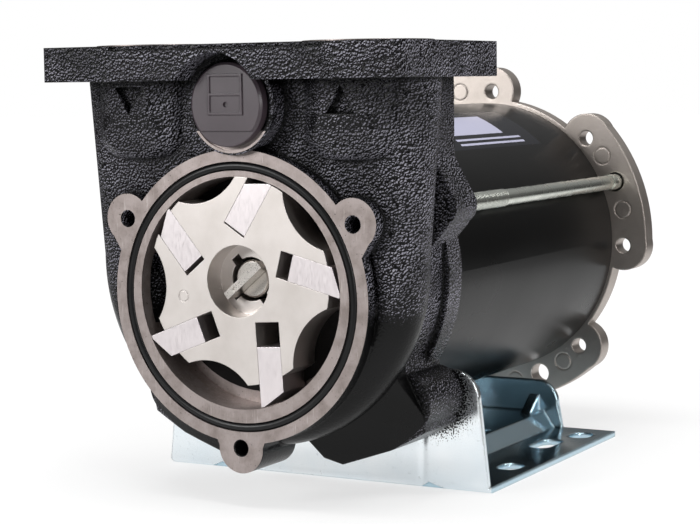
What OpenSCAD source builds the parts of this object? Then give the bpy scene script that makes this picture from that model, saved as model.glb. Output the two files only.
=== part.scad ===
// Diesel transfer pump with its front cover taken off: a direct-current motor drives
// an eccentric sliding-vane rotor in a cast iron body, with a bypass valve above it.
// X points right, Y back along the shaft and Z up. The origin is the centre of the
// ring that the cover is screwed to, in the plane of its machined face.
// All lengths are in millimetres.

/* [Show] */
// Sub-part to draw, or all

/* [Pump chamber] */
// Radius of the pump bore
bore_r = 36; // [35.5:0.1:36.5]
// Height of the bore centre above the centre of the cover ring
bore_rise = 1.2; // [1:0.1:1.3]
// Height of the shaft axis above the bore centre
shaft_rise = 3.75; // [3.5:0.05:3.9]
// Depth of the chamber behind the cover face
chamber_d = 14; // [13:0.5:15]
// Gap between parts that run or slide on each other
run_gap = 0.05; // [0.04:0.01:0.08]
// Thickness of the loose side disc behind the rotor
disc_t = 0.95; // [0.8:0.05:1.2]
// Radius of the hole in the side disc
disc_hole_r = 10; // [9.5:0.1:12]
// Thickness of the wall behind the chamber
wall_t = 6; // [5:0.5:7]
// Radius of the shaft tunnel in that wall
tunnel_r = 8; // [7:0.1:8.5]

/* [Rotor and vanes] */
// Width of a vane slot
slot_w = 8.4; // [8:0.1:8.6]
// Sideways offset of a slot's centre line from the shaft axis
slot_offset = 9.4; // [9.2:0.1:9.5]
// Distance of the slot floor from the axis, along the slot
slot_floor = 12.7; // [12.5:0.1:12.8]
// Direction of the first slot, in degrees from the X axis
slot_angle = 57.5; // [50:0.5:65]
// Length of a vane's long side
vane_l = 18.5; // [18:0.1:18.6]
// Width of the flat land at a vane tip
vane_land = 1; // [0.8:0.1:1.1]
// Height lost over the bevelled tip of a vane
vane_bevel = 4.7; // [4:0.1:5]
// Clearance of a vane tip in the middle of its travel
tip_gap = 0.28; // [0.27:0.01:0.34]
// Radius of the hollows between the rotor's teeth
scallop_r = 19; // [18:0.5:20]
// Smallest radius of the rotor, in the middle of a hollow
scallop_depth_r = 26.6; // [26.2:0.1:28]
// Angle from a slot back to the hollow before it
scallop_turn = 18.5; // [17.5:0.5:19.5]
// Radius of the hub recess in the rotor's front
hub_r = 11.2; // [10:0.1:11.4]
// Depth of the hub recess
hub_d = 7.8; // [6:0.1:8.2]
// Radius of the rotor's own bore
rotor_bore_r = 6.9; // [6.6:0.1:7.2]
// Width of the four keyways in the rotor
keyway_w = 3.2; // [3:0.1:3.6]
// Reach of the keyways from the axis
keyway_r = 8.9; // [8.6:0.1:9.2]
// Distance of the casting mark to the left of the rotor's axis
mark_x = 20; // [19:0.1:20.5]
// Drop of the casting mark below the rotor's axis
mark_z = 5.3; // [4.8:0.1:5.6]
// Radius of the casting mark
mark_r = 1.6; // [1.2:0.1:1.8]

/* [Shaft and key] */
// Radius of the motor shaft
shaft_r = 6; // [5.8:0.1:6.1]
// Distance of the shaft's front end behind the cover face
shaft_front = 8.4; // [8.2:0.1:9]
// Chamfer of the shaft's front end
shaft_chamfer = 0.6; // [0.4:0.1:0.8]
// Length of the flat drive key across the shaft
key_l = 16; // [15:0.2:16.6]
// Thickness of the drive key
key_t = 2.4; // [2:0.1:2.8]
// Distance of the key's front edge behind the cover face
key_front = 2.6; // [2:0.1:4]
// Direction of the key, in degrees from the X axis
key_angle = 40; // [0:1:80]
// Place and size of the key's centre punch, as a share of its own size
punch_share = 0.25; // [0.15:0.01:0.35]

/* [Cover face] */
// Radius of the bare machined ring that the cover seals on
ring_r = 45.5; // [45.2:0.1:46]
// Inner radius of the seal groove
groove_in_r = 39; // [38.8:0.1:39.2]
// Outer radius of the seal groove
groove_out_r = 41.8; // [41.6:0.1:42]
// Depth of the seal groove
groove_d = 2.4; // [2.2:0.1:2.6]
// Radius of the seal cord
cord_r = 1.3; // [1.1:0.05:1.3]
// Radius of the circle through the cover screw holes
cover_pcr = 46.9; // [46.5:0.1:47.5]
// Tapping radius of the cover screw holes
cover_tap_r = 2.4; // [2:0.1:2.6]
// Depth of the cover screw holes
cover_tap_d = 10; // [8:0.5:11]
// Radius of the three screw lugs
lug_r = 7.9; // [7.6:0.1:8.2]
// Distance the ring stands proud of the front wall
ring_proud = 5; // [4.5:0.5:5.5]
// Depth of the lower lug's boss
low_lug_d = 20; // [18:1:22]

/* [Body casting] */
// Radius of the rounded rim of the rotor housing, below the middle
house_low_r = 58; // [57.5:0.1:58.5]
// Half width of the rim under the top flange
house_top_w = 62.6; // [61.5:0.1:63]
// Height of the rim's centre above the origin
house_centre = 9.9; // [9.7:0.1:10.2]
// Radius of the rim's rounded edge
house_round = 9.3; // [9:0.1:9.6]
// Half width of the narrower block behind the rim
neck_w = 50; // [49.5:0.1:50.5]
// Radius of the round motor seat
barrel_r = 52.2; // [52:0.1:52.5]
// Depth of the seat's rear face, where the motor tube begins
seat_back = 50; // [49.5:0.1:50]
// Width of the motor seat's band
seat_w = 9; // [8:0.5:10]
// Radius of the hollow in the motor seat
seat_hollow_r = 44; // [42:0.5:44.5]
// Length of the spigots that centre the tube
spigot_l = 4; // [3.5:0.5:4.5]
// Depth of the foot screw bosses' front faces
foot_boss_front = 26.5; // [26:0.5:28]
// Half width of the gap between the legs
leg_in = 12; // [11:0.5:13]
// Lowest point of the legs, below the origin
leg_drop = 54.8; // [54:0.1:55.5]
// Distance of the foot screw bosses from the middle
foot_boss_x = 42.5; // [42.3:0.1:42.9]
// Drop of the foot screw bosses below the origin
foot_boss_drop = 34.5; // [34.3:0.1:34.9]
// Radius of the foot screw bosses
foot_boss_r = 9.8; // [9.6:0.1:10]
// Tapping radius of the foot screw holes
foot_tap_r = 2.7; // [2.5:0.1:2.8]
// Depth of the foot screw holes
foot_tap_d = 16; // [14:0.5:18]

/* [Top flange] */
// Half width of the top flange
top_w = 63.7; // [63:0.1:64.5]
// Front edge of the top flange, in front of the cover face
top_front = 12; // [11.5:0.1:12.5]
// Rear edge of the top flange
top_back = 54; // [53:0.5:55]
// Height of the flange's upper face
top_z = 77.4; // [77:0.1:78]
// Thickness of the top flange
top_t = 10.8; // [10.5:0.1:11.2]
// Radius of the flange's corners
top_corner_r = 2; // [1.5:0.1:3]
// Height of the step along the flange's front edge
step_h = 1.5; // [1:0.1:1.8]
// Half width of that step
step_w = 38; // [36:0.5:40]
// Radius of the arch over the cap in the flange
notch_r = 15.7; // [15.6:0.05:15.9]
// Half spacing of the two ports
port_x = 38; // [37.5:0.1:38.5]
// Depth of the port axes behind the cover face
port_y = 16; // [15.5:0.1:16.5]
// Tapping radius of the port threads
port_r = 15.2; // [14:0.1:15.5]
// Depth of the port threads
port_d = 24; // [22:0.5:25]
// Radius of the bosses round the ports
port_boss_r = 19.3; // [19.1:0.1:19.5]
// Lowest height of the port bosses
port_boss_z = 42.3; // [42:0.1:42.6]
// Radius of the rounding at the bosses' lower edges
port_round = 7.5; // [6.5:0.1:8]
// Distance of the bosses' flat fronts in front of the cover face
port_face_y = 2; // [1.6:0.1:2.4]
// Height of the sloping band across a boss
band_z = 51.2; // [50.8:0.1:51.6]
// Width of that band
band_h = 5; // [4.5:0.1:5.5]
// Depth of the boss face below the band
band_d = 1.2; // [0.8:0.1:1.5]
// Depth of the flow marks
mark_d = 2.4; // [1.5:0.1:3]
// Height of the flow marks
mark_h = 8.6; // [8:0.1:9]
// Radius of the passages from the ports to the chamber
gallery_r = 6; // [5.5:0.1:6.2]
// Distance of those passages from the middle
gallery_x = 43; // [42.5:0.1:43.5]
// Depth of those passages behind the cover face
gallery_y = 18; // [17.5:0.1:18.2]
// Half angle of the windows from the passages into the chamber, in degrees
window_half = 18; // [14:1:20]
// Radius of the spot face round a port
port_face_r = 20; // [19:0.5:20.5]
// Height of the port spot faces above the flange
port_face_t = 0.5; // [0.4:0.1:0.8]
// Radius of the four bolt holes in the flange
top_hole_r = 3.3; // [3:0.1:3.5]
// Distance of the bolt holes from the edges of the flange
top_inset = 7; // [6.7:0.1:7.3]

/* [Bypass valve] */
// Height of the valve axis
valve_z = 59.1; // [58.8:0.1:59.4]
// Radius of the boss round the valve
valve_boss_r = 15.3; // [15:0.1:15.4]
// Radius of the cap's head
cap_r = 12.8; // [12.5:0.1:13]
// Front of the cap, in front of the cover face
cap_front = 5; // [4.5:0.1:5.5]
// Chamfer of the cap's head
cap_chamfer = 0.8; // [0.5:0.1:1]
// Front of the machined boss under the cap
cap_seat = 2.2; // [2:0.1:2.4]
// Depth of the spot face round the cap
spot_d = 1; // [0.8:0.1:1.2]
// Radius of the spot face round the cap
spot_r = 14; // [13.8:0.1:14.3]
// Width of the plain raised panel on the cap
panel_w = 12.4; // [12:0.1:12.8]
// Width of the panel's raised edges
panel_rim = 0.8; // [0.6:0.1:1]
// Height of the panel's raised edges
panel_h = 0.4; // [0.3:0.05:0.6]
// Depth of the dips in the cap's face
panel_dip = 0.6; // [0.4:0.1:0.8]
// Distance from the cap's middle down to its lower flat
cap_chord = 8; // [7.5:0.1:8.5]
// Depth of the cap's threaded plug
plug_back = 9; // [8.5:0.1:9.5]
// Radius of the bore in the plug
cap_bore_r = 6.4; // [6.2:0.1:6.6]
// Depth where that bore ends in the cap
cap_bore_y = 2; // [1.5:0.1:2.5]
// Radius of the cap's seal cord
cap_cord_r = 0.9; // [0.8:0.05:1]
// Radius of the valve bore
valve_r = 9.5; // [9.3:0.1:9.7]
// Depth of the valve seat
valve_seat_y = 27; // [26.5:0.1:27.5]
// Radius of the valve seat's opening
seat_r = 6; // [5.8:0.1:6.2]
// Depth where the passage behind the seat ends
seat_bore_y = 36; // [35.5:0.1:36.5]
// Radius of the cross passages to the ports
cross_r = 4; // [3.5:0.1:4.2]
// Radius of the poppet
poppet_r = 8.4; // [8:0.1:8.7]
// Depth of the poppet's front face
poppet_front = 23; // [22.5:0.1:23.5]
// Radius of the poppet's stem
stem_r = 3; // [2.5:0.1:3.4]
// Length of the poppet's stem
stem_l = 12; // [10:0.5:13]
// Wire radius of the valve spring
valve_wire_r = 0.7; // [0.6:0.05:0.8]
// Coil radius of the valve spring
valve_coil_r = 4.9; // [4.7:0.1:5]
// Number of coils drawn in the valve spring
spring_turns = 7; // [5:1:8]

/* [Motor] */
// Outer radius of the motor tube
tube_r = 51.6; // [51.4:0.1:51.8]
// Wall thickness of the motor tube
tube_t = 3.4; // [3.2:0.1:3.6]
// Length of the motor tube
tube_l = 131.6; // [130:0.2:134]
// Outer radius of the armature
arm_r = 38.6; // [38:0.1:39]
// Length of the armature stack
arm_l = 60; // [58:1:61]
// Number of armature slots
arm_slots = 12; // [8:1:14]
// Width of an armature slot
arm_slot_w = 6; // [5:0.5:7]
// Depth of an armature slot
arm_slot_d = 12; // [10:0.5:13]
// Length of a winding's end turns
coil_l = 11; // [9:0.5:12]
// Inner radius of the end turns
coil_in_r = 17; // [15:0.5:19]
// Chamfer of the end turns
coil_bevel = 3; // [2:0.5:3.5]
// Thickness of the magnets
magnet_t = 8; // [7.6:0.1:8.2]
// Length of the magnets
magnet_l = 66; // [62:1:68]
// Half of the angle that one magnet covers, in degrees
magnet_half = 65; // [55:1:72]
// Outer radius of the commutator
comm_r = 16; // [15:0.5:17]
// Length of the commutator
comm_l = 14; // [13:0.5:15]
// Number of commutator bars
comm_bars = 24; // [12:1:28]
// Width of the cuts between the commutator bars
comm_cut = 0.6; // [0.5:0.05:0.8]

/* [Brushes, bearings and seal] */
// Width of a brush along the shaft
brush_w = 9; // [8:0.5:10]
// Thickness of a brush round the commutator
brush_t = 6; // [5.5:0.5:7]
// Length of a brush
brush_l = 14; // [13:0.5:15]
// Wire radius of the brush springs
brush_wire_r = 0.4; // [0.3:0.05:0.5]
// Number of coils drawn in a brush spring
brush_turns = 5; // [4:1:6]
// Wall of the brush boxes
brush_box_t = 1.2; // [1:0.1:1.5]
// Inner end of the brush boxes
box_in_r = 19; // [18.8:0.1:20]
// Outer end of the brush boxes
box_out_r = 39.5; // [39:0.1:40]
// Outer radius of the brush holder's ring
holder_r = 43; // [42:0.5:44]
// Outer radius of the two ball bearings
bearing_r = 16; // [15.5:0.1:16.5]
// Width of the two ball bearings
bearing_w = 10; // [9.5:0.1:10.5]
// Depth of the bearing's shields below its rings
shield_dip = 0.6; // [0.4:0.1:1]
// Outer radius of the shaft seal
seal_r = 12; // [11.5:0.1:12.5]
// Width of the shaft seal
seal_w = 7; // [6:0.1:7.2]
// Wall of the seal's case and lip
lip_t = 1.2; // [1:0.1:1.5]

/* [End shield and tie rods] */
// Thickness of the end shield's plate
shield_t = 7; // [6.5:0.1:7.5]
// Radius of the shield's plate between its ears
shield_r = 53; // [52.8:0.1:53.4]
// Radius where the ears' outlines start, inside the plate
barrel_in_r = 46; // [44:0.5:48]
// Outer radius of the shield's ears
ear_r = 65; // [64.8:0.1:65.2]
// Half of the angle that the plain arc of an ear covers, in degrees
ear_half = 24; // [23.7:0.1:24]
// Angle from an ear's middle up to its tie rod hole, in degrees
ear_turn = 2.2; // [1.8:0.1:2.6]
// Radius of the circle through the eight small holes
small_pcr = 56; // [55.8:0.1:56.2]
// Radius of the small holes
small_hole_r = 2.8; // [2.7:0.1:2.9]
// Radius of the circle through the tie rod holes
rod_pcr = 57; // [56.8:0.1:57.2]
// Radius of the tie rod holes
rod_hole_r = 3.6; // [3.4:0.1:3.8]
// Radius of the round pin marks beside the tie rod holes
pin_r = 3.3; // [3.1:0.1:3.5]
// Width and depth of the pin marks' grooves
pin_t = 0.3; // [0.2:0.05:0.4]
// Angle from a tie rod hole to a pin mark, in degrees
pin_turn = 11; // [10.5:0.5:11.5]
// Wall of the bearing cup behind the shield
cup_t = 4; // [3.5:0.5:5]
// Thickness of the ribs behind the shield
rib_t = 4; // [3:0.5:5]
// Height of the ribs behind the shield
rib_h = 5; // [4:0.5:6]
// Thread radius of the tie rods
rod_r = 2.95; // [2.85:0.05:3]
// Shank radius of the tie rods
rod_shank_r = 2.7; // [2.6:0.05:2.75]
// Depth where the rods' front threads end
rod_thread_y = 80; // [76:1:84]
// Depth of the tapped holes for the rods
rod_tap_d = 14; // [12:0.5:16]
// Direction of the first tie rod, in degrees from the X axis
rod_angle = 22.5; // [22:0.5:23]
// Radius of the ears that the rods are screwed into
rod_ear_r = 6.2; // [6:0.1:6.4]
// Reach of an ear's web above its rod
ear_high_h = 31; // [29:0.5:32]
// Reach of an ear's web below its rod
ear_low_h = 21; // [19:0.5:22]
// Depth of the front of those ears
ear_front = 33; // [32:0.5:34]
// Distance of the ears' rear faces in front of the motor seat's
ear_step = 2.5; // [2:0.1:3]
// Corner radius of the nuts
nut_r = 5.77; // [5.6:0.01:5.9]
// Thickness of the nuts
nut_t = 5; // [4.6:0.1:5.4]
// Thickness of the washers
washer_t = 1.2; // [1:0.1:1.4]
// Length of the screw end that pokes out of the lowest small hole
screw_poke = 4; // [3:0.1:5]
// Angle of the cord gland on the end shield, in degrees from the X axis
gland_angle = -45; // [-50:1:-40]
// Distance of the gland from the shaft axis
gland_pcr = 34; // [33:0.5:35]
// Radius of the gland's neck
gland_r = 7; // [6.5:0.1:7.5]
// Length of the gland behind the shield
gland_l = 18; // [15:0.5:20]

/* [Foot bracket] */
// Height of the surface that the foot stands on, below the origin
floor_drop = 65.8; // [65.4:0.1:66.2]
// Sheet thickness of the foot bracket
sheet_t = 2; // [1.8:0.1:2.2]
// Half width of the foot
foot_w = 61; // [60.7:0.1:61.4]
// Front face of the upright apron
apron_y = 50.1; // [50.1:0.1:50.4]
// Height of the apron
apron_h = 39.5; // [39:0.1:40]
// Radius of the apron's upper corners
apron_round = 10; // [9:0.5:11]
// Distance that the apron's sides lean in up to those corners
apron_lean = 3.3; // [3:0.1:3.6]
// Outer radius of the bend between the apron and the foot
bend_r = 3; // [2.6:0.1:3.4]
// Rear edge of the foot
foot_back = 160; // [158:0.5:162]
// Half width of the raised middle of the foot
rise_w = 33.5; // [33:0.5:34]
// Height of the raised middle above the flanges
rise_h = 5.7; // [5.4:0.1:6]
// Width of the sloping step beside it
rise_run = 4; // [3.5:0.1:4.5]
// Half width of the mounting slots
foot_slot_r = 4; // [3.8:0.1:4.2]
// Length of the long slots between their centres
foot_slot_l = 9; // [8:0.5:9.5]
// Distance of the long slots from the middle
foot_slot_x = 47.6; // [47.4:0.1:48.4]
// Depth of the long slots' middles
foot_slot_y = 127; // [126:0.5:128]
// Distance of the short slots from the middle
foot_hole_x = 52.8; // [52.5:0.1:53]
// Depth of the middle between the short slots
foot_hole_y = 116; // [115.5:0.1:116.5]
// Half spacing of the short slots front to back
foot_hole_half = 31; // [30.5:0.1:31.5]
// Length of the short slots between their centres
foot_hole_l = 3; // [2.5:0.5:4]
// Distance from the middle of the round holes in the raised part
rise_hole_x = 27; // [26:0.5:28]
// Depth of those holes
rise_hole_y = 114; // [110:1:118]
// Radius of those holes
rise_hole_r = 4; // [3.5:0.1:4.5]
// Half width of the rear wall
saddle_w = 41; // [40:0.5:42]
// Height of the rear wall
saddle_h = 19.5; // [19.2:0.1:20]
// Gap between the rear wall's saddle and the motor tube
saddle_gap = 0.3; // [0.1:0.05:0.5]

/* [Shares] */
// Half width of a flow mark for its height
tri_share = 0.58; // [0.5:0.01:0.65]
// Reach of flank fillings inside the round shapes they join
flank_share = 0.85; // [0.8:0.01:0.9]
// Reach of straight edges on round lugs
edge_share = 0.97; // [0.95:0.01:0.98]
// Slope of the legs' front faces, backwards for outwards
leg_slope_share = 0.44; // [0.4:0.01:0.48]
// Narrow tails of lugs and ears
tail_share = 0.25; // [0.2:0.01:0.3]
// Mouth of a chamfered screw hole for its own radius
chamfer_share = 1.15; // [1.1:0.01:1.2]
// Screw heads for their thread
head_share = 1.7; // [1.6:0.05:1.8]
// The gland's cap for its neck
gland_share = 1.25; // [1.2:0.01:1.3]
// Washers for the nuts on them
washer_share = 1.04; // [1.02:0.01:1.06]
// Height where an upright's sides begin to lean
knee_share = 0.6; // [0.5:0.05:0.7]

/* [Hidden] */
$fn = 96;
vanes = 5;
cover_angles = [30, 150, 270];
lug_x = cover_pcr * cos(30);
lug_z = cover_pcr * sin(30);
lug_top = lug_z + lug_r * edge_share;
top_mid_y = (top_back - top_front) / 2;
small_holes = 8;
slot_step = 360 / vanes;
small_step = 360 / small_holes;
// Overrun of every cut past the face that it opens
eps = bore_r / 360;

// Both hands of a mirrored pair.
sides = [-1, 1];
// The four quarters of a turn.
quarters = [0, 90, 180, 270];

// Vane law: the tips follow the bore while each vane keeps its own slot.
contact_n = slot_offset - slot_w / 2 + vane_land;
contact_l = sqrt(bore_r * bore_r - contact_n * contact_n);
swing_angle = atan(contact_n / contact_l);
swing_d = shaft_rise * sqrt(1 + pow(contact_n / contact_l, 2));
disc_x = -swing_d / 2 * sin(swing_angle);
disc_z = shaft_rise - swing_d / 2 * cos(swing_angle);
disc_r = bore_r - sqrt(disc_x * disc_x + disc_z * disc_z) - 2 * run_gap;

shaft_z = bore_rise + shaft_rise;
rotor_r = bore_r - shaft_rise - run_gap;
disc_front = chamber_d - run_gap - disc_t;
rotor_back = disc_front - run_gap;
hub_floor = run_gap + hub_d;
key_back = rotor_back + run_gap;

seat_front = seat_back - seat_w;
house_mid = ring_proud + house_round;
house_rear = house_mid + house_round;
house_low_in = house_low_r - house_round;
house_tilt = atan((house_top_w - house_low_r) / (top_z - top_t - house_centre));
wall_front = ring_proud - run_gap / 2;
wall_back = house_rear + run_gap / 2;
leg_root = house_mid + house_round / 4;
top_hole_x = top_w - top_inset;
top_hole_y = (top_front + top_back) / 2 - top_inset;

seal_front = chamber_d + wall_t;
seal_back = seal_front + seal_w;
bearing_front = seal_back + wall_t / 4;
bearing_back = bearing_front + bearing_w;
cavity_front = bearing_back + wall_t / 4;

tube_in_r = tube_r - tube_t;
tube_back = seat_back + tube_l;
shield_back = tube_back + shield_t;
rear_bearing_front = tube_back + shield_t / 2;
rear_bearing_back = rear_bearing_front + bearing_w;
cup_back = rear_bearing_back + shield_t / 2;
shaft_back = rear_bearing_back;
holder_front = tube_back - spigot_l - shield_t / 3;
comm_back = holder_front - shield_t / 2;
comm_front = comm_back - comm_l;
comm_mid = comm_front + comm_l / 2;
arm_back = comm_front - coil_l - coil_l / 4;
arm_front = arm_back - arm_l;
magnet_front = (arm_front + arm_back - magnet_l) / 2;
journal_r = shaft_r;
body_shaft_r = shaft_r + brush_box_t;

apron_back = apron_y + sheet_t;
flange_top = -floor_drop + sheet_t;
rise_top = flange_top + rise_h;

// Flat shape drawn across and up, made solid between two depths.
module slab(front, back) {
  translate([0, back, 0])
    rotate([90, 0, 0])
      linear_extrude(back - front) children();
}

// Round bar along the depth.
module bar(r, front, back) {
  translate([0, front, 0])
    rotate([-90, 0, 0])
      cylinder(r = r, h = back - front);
}

// Profile drawn outwards and back, turned about the depth axis.
module turned() {
  rotate([-90, 0, 0])
    rotate_extrude() children();
}

// The lower half of such a turned shape.
module turned_low() {
  rotate([-90, 0, 0])
    rotate_extrude(angle = 180) children();
}

module on_shaft() {
  translate([0, 0, shaft_z]) children();
}

module at_angle(a) {
  rotate([0, -a, 0]) children();
}

// Upper half of the housing's rim: two leaning round edges and the wall between them.
module rim_top() {
  rise = top_z - top_t - house_centre + top_t / 2;
  for (s = sides)
    translate([s * house_low_in, house_mid, house_centre])
      rotate([0, s * house_tilt, 0])
        cylinder(r = house_round - 2 * run_gap, h = rise);
  slab(wall_front, wall_back)
    polygon([[-house_low_in, house_centre], [house_low_in, house_centre],
             [house_low_in + rise * tan(house_tilt), house_centre + rise],
             [-house_low_in - rise * tan(house_tilt), house_centre + rise]]);
}

module rim_ring() {
  translate([0, 0, house_centre])
    turned()
      union() {
        translate([0, wall_front])
          square([house_low_in, wall_back - wall_front]);
        translate([house_low_in, house_mid])
          circle(house_round);
      }
}

// Narrower block between the rim and the motor seat.
module neck() {
  slab(house_mid, seat_back - run_gap)
    translate([-neck_w, shaft_z])
      square([2 * neck_w, top_z - top_t / 2 - shaft_z]);
  on_shaft()
    turned_low()
      translate([0, house_mid])
        square([neck_w, seat_back - run_gap - house_mid]);
  on_shaft()
    bar(barrel_r, seat_front, seat_back);
}

module top_flange() {
  translate([0, 0, top_z - top_t])
    linear_extrude(top_t)
      union() {
        translate([-top_w + top_corner_r, -top_front])
          square([2 * (top_w - top_corner_r), top_front + top_back]);
        translate([-top_w, -top_front + top_corner_r])
          square([2 * top_w, top_front + top_back - 2 * top_corner_r]);
        for (s = sides)
          for (y = [-top_front + top_corner_r, top_back - top_corner_r])
            translate([s * (top_w - top_corner_r), y])
              circle(top_corner_r);
      }
}

// Boss round one port: a drum under the flange with a rounded lower edge,
// a flat front and a sloping band across it.
module port_boss(s) {
  drop = top_z - top_t / 2 - port_boss_z;
  difference() {
    translate([s * port_x, port_y, port_boss_z])
      rotate_extrude()
        union() {
          square([port_boss_r - port_round, drop]);
          translate([0, port_round])
            square([port_boss_r, drop - port_round]);
          translate([port_boss_r - port_round, port_round])
            circle(port_round);
        }
    translate([s * port_x - port_boss_r - eps, -top_front * 2, port_boss_z - eps])
      cube([2 * (port_boss_r + eps), 2 * top_front - port_face_y, drop + top_t]);
    translate([s * port_x - port_boss_r - eps, 0, 0])
      rotate([90, 0, 90])
        linear_extrude(2 * (port_boss_r + eps))
          polygon([[-port_face_y - eps, port_boss_z - eps],
                   [-port_face_y + band_d, port_boss_z - eps],
                   [-port_face_y + band_d, band_z],
                   [-port_face_y - eps, band_z + band_h]]);
  }
}

// Flow mark pressed into a boss: a triangle that points up or down.
module flow_mark(s) {
  slab(-port_face_y - eps, -port_face_y + mark_d)
    translate([s * port_x, band_z + band_h + mark_h / 2])
      scale([1, s])
        polygon([[-mark_h * tri_share, -mark_h / 2], [mark_h * tri_share, -mark_h / 2],
                 [0, mark_h / 2]]);
}

// Ring that the cover seals on, with its three screw lugs.
module ring_face() {
  slab(0, ring_proud * 2)
    union() {
      circle(ring_r);
      for (a = cover_angles)
        translate([cover_pcr * cos(a), cover_pcr * sin(a)])
          circle(lug_r);
      for (s = sides)
        polygon([[s * ring_r * flank_share, lug_top], [s * lug_x, lug_top],
                 [s * lug_x, lug_z], [s * (lug_x + lug_r * edge_share), lug_z - lug_r * tail_share],
                 [s * (ring_r - lug_r * tail_share), lug_z - lug_r * (1 + tail_share)],
                 [s * ring_r * flank_share, lug_z - lug_r * (1 + tail_share)]]);
    }
  slab(0, low_lug_d)
    union() {
      translate([0, -cover_pcr])
        circle(lug_r);
      polygon([[-lug_r * (1 + tail_share), -ring_r + lug_r / 2],
               [-lug_r * edge_share, -cover_pcr],
               [lug_r * edge_share, -cover_pcr],
               [lug_r * (1 + tail_share), -ring_r + lug_r / 2]]);
    }
}

// Round boss that carries the valve cap.
module valve_boss() {
  translate([0, 0, valve_z])
    bar(valve_boss_r, -cap_seat, valve_seat_y);
}

// Two legs that the foot bracket is screwed to; their front faces lean back
// from the rim like a wide cone.
module legs() {
  for (s = sides) {
    intersection() {
      slab(house_mid, seat_back - run_gap)
        polygon([[s * leg_in, -neck_w * flank_share],
                 [s * leg_in, -leg_drop + lug_r * edge_share],
                 [s * (leg_in + lug_r / 2), -leg_drop + lug_r * tail_share],
                 [s * (leg_in + lug_r * (1 + tail_share)), -leg_drop],
                 [s * (foot_boss_x - lug_r / 2), -foot_boss_drop - foot_boss_r * 3 / 2],
                 [s * (foot_boss_x + lug_r * edge_share), -foot_boss_drop - foot_boss_r * flank_share],
                 [s * (foot_boss_x + lug_r * edge_share), -foot_boss_drop - foot_boss_r * tail_share],
                 [s * (foot_boss_x + lug_r / 4), -foot_boss_drop + foot_boss_r * flank_share],
                 [s * neck_w * flank_share, -foot_boss_drop + 2 * foot_boss_r]]);
      translate([0, 0, house_centre])
        turned()
          polygon([[0, leg_root], [house_low_in, leg_root],
                   [2 * neck_w, leg_root + (2 * neck_w - house_low_in) * leg_slope_share],
                   [2 * neck_w, seat_back], [0, seat_back]]);
    }
    translate([s * foot_boss_x, 0, -foot_boss_drop])
      bar(foot_boss_r, foot_boss_front, seat_back);
  }
}

// Ears that the tie rods are screwed into.
module rod_ears() {
  on_shaft()
    for (a = [rod_angle, rod_angle + 180])
      at_angle(a)
        at_angle(-rod_angle)
          slab(ear_front, seat_back - ear_step)
            union() {
              translate([rod_pcr * cos(rod_angle), rod_pcr * sin(rod_angle)])
                circle(rod_ear_r);
              polygon([[neck_w * flank_share, rod_pcr * sin(rod_angle) - ear_low_h],
                       [rod_pcr * cos(rod_angle) + rod_ear_r * tail_share * 2,
                        rod_pcr * sin(rod_angle) - rod_ear_r * edge_share],
                       [rod_pcr * cos(rod_angle) + rod_ear_r * edge_share,
                        rod_pcr * sin(rod_angle)],
                       [rod_pcr * cos(rod_angle) + rod_ear_r * edge_share,
                        rod_pcr * sin(rod_angle) + rod_ear_r * tail_share],
                       [neck_w * flank_share, rod_pcr * sin(rod_angle) + ear_high_h]]);
            }
}

// Sector of a ring, from one angle to the next, made by cutting a full ring.
module sector(in_r, out_r, from, to) {
  intersection() {
    difference() {
      circle(out_r);
      circle(in_r);
    }
    polygon([[0, 0], [2 * out_r * cos(from), 2 * out_r * sin(from)],
             [2 * out_r * cos((from + to) / 2), 2 * out_r * sin((from + to) / 2)],
             [2 * out_r * cos(to), 2 * out_r * sin(to)]]);
  }
}

// Chamber, shaft tunnel, seal seat, bearing seat and motor cavity.
module body_hollows() {
  translate([0, 0, bore_rise])
    bar(bore_r, -eps, chamber_d);
  on_shaft() {
    bar(tunnel_r, chamber_d - eps, seat_back + eps);
    bar(seal_r + run_gap, seal_front, bearing_front);
    bar(bearing_r + run_gap, bearing_front, cavity_front);
    bar(seat_hollow_r, cavity_front, seat_back + eps);
  }
  turned()
    translate([groove_in_r, -eps])
      square([groove_out_r - groove_in_r, groove_d + eps]);
}

// Flow path from each port down to its window in the side of the chamber.
module galleries() {
  for (s = sides) {
    translate([s * port_x, port_y, top_z - port_d])
      cylinder(r = port_r, h = port_d + port_face_t + eps);
    translate([s * gallery_x, gallery_y, house_centre - gallery_r])
      cylinder(r = gallery_r, h = top_z - port_d - house_centre + gallery_r + eps);
    translate([0, 0, bore_rise])
      slab(groove_d * 2, chamber_d - run_gap)
        scale([s, 1])
          sector(bore_r - gallery_r / 2, gallery_x + gallery_r / 2, -window_half, window_half);
  }
}

// Valve bore, its seat and the cross passages to both ports.
module valve_bore() {
  translate([0, 0, valve_z]) {
    bar(spot_r, -cap_seat - eps, -cap_seat + spot_d);
    bar(valve_r, -cap_seat - eps, valve_seat_y);
    bar(seat_r, valve_seat_y - eps, seat_bore_y);
  }
  translate([-port_x, port_y + seat_r, valve_z])
    rotate([0, 90, 0])
      cylinder(r = cross_r, h = port_x);
  translate([0, seat_bore_y - cross_r - run_gap, valve_z])
    rotate([0, 90, 0])
      cylinder(r = cross_r, h = port_x);
}

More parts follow.
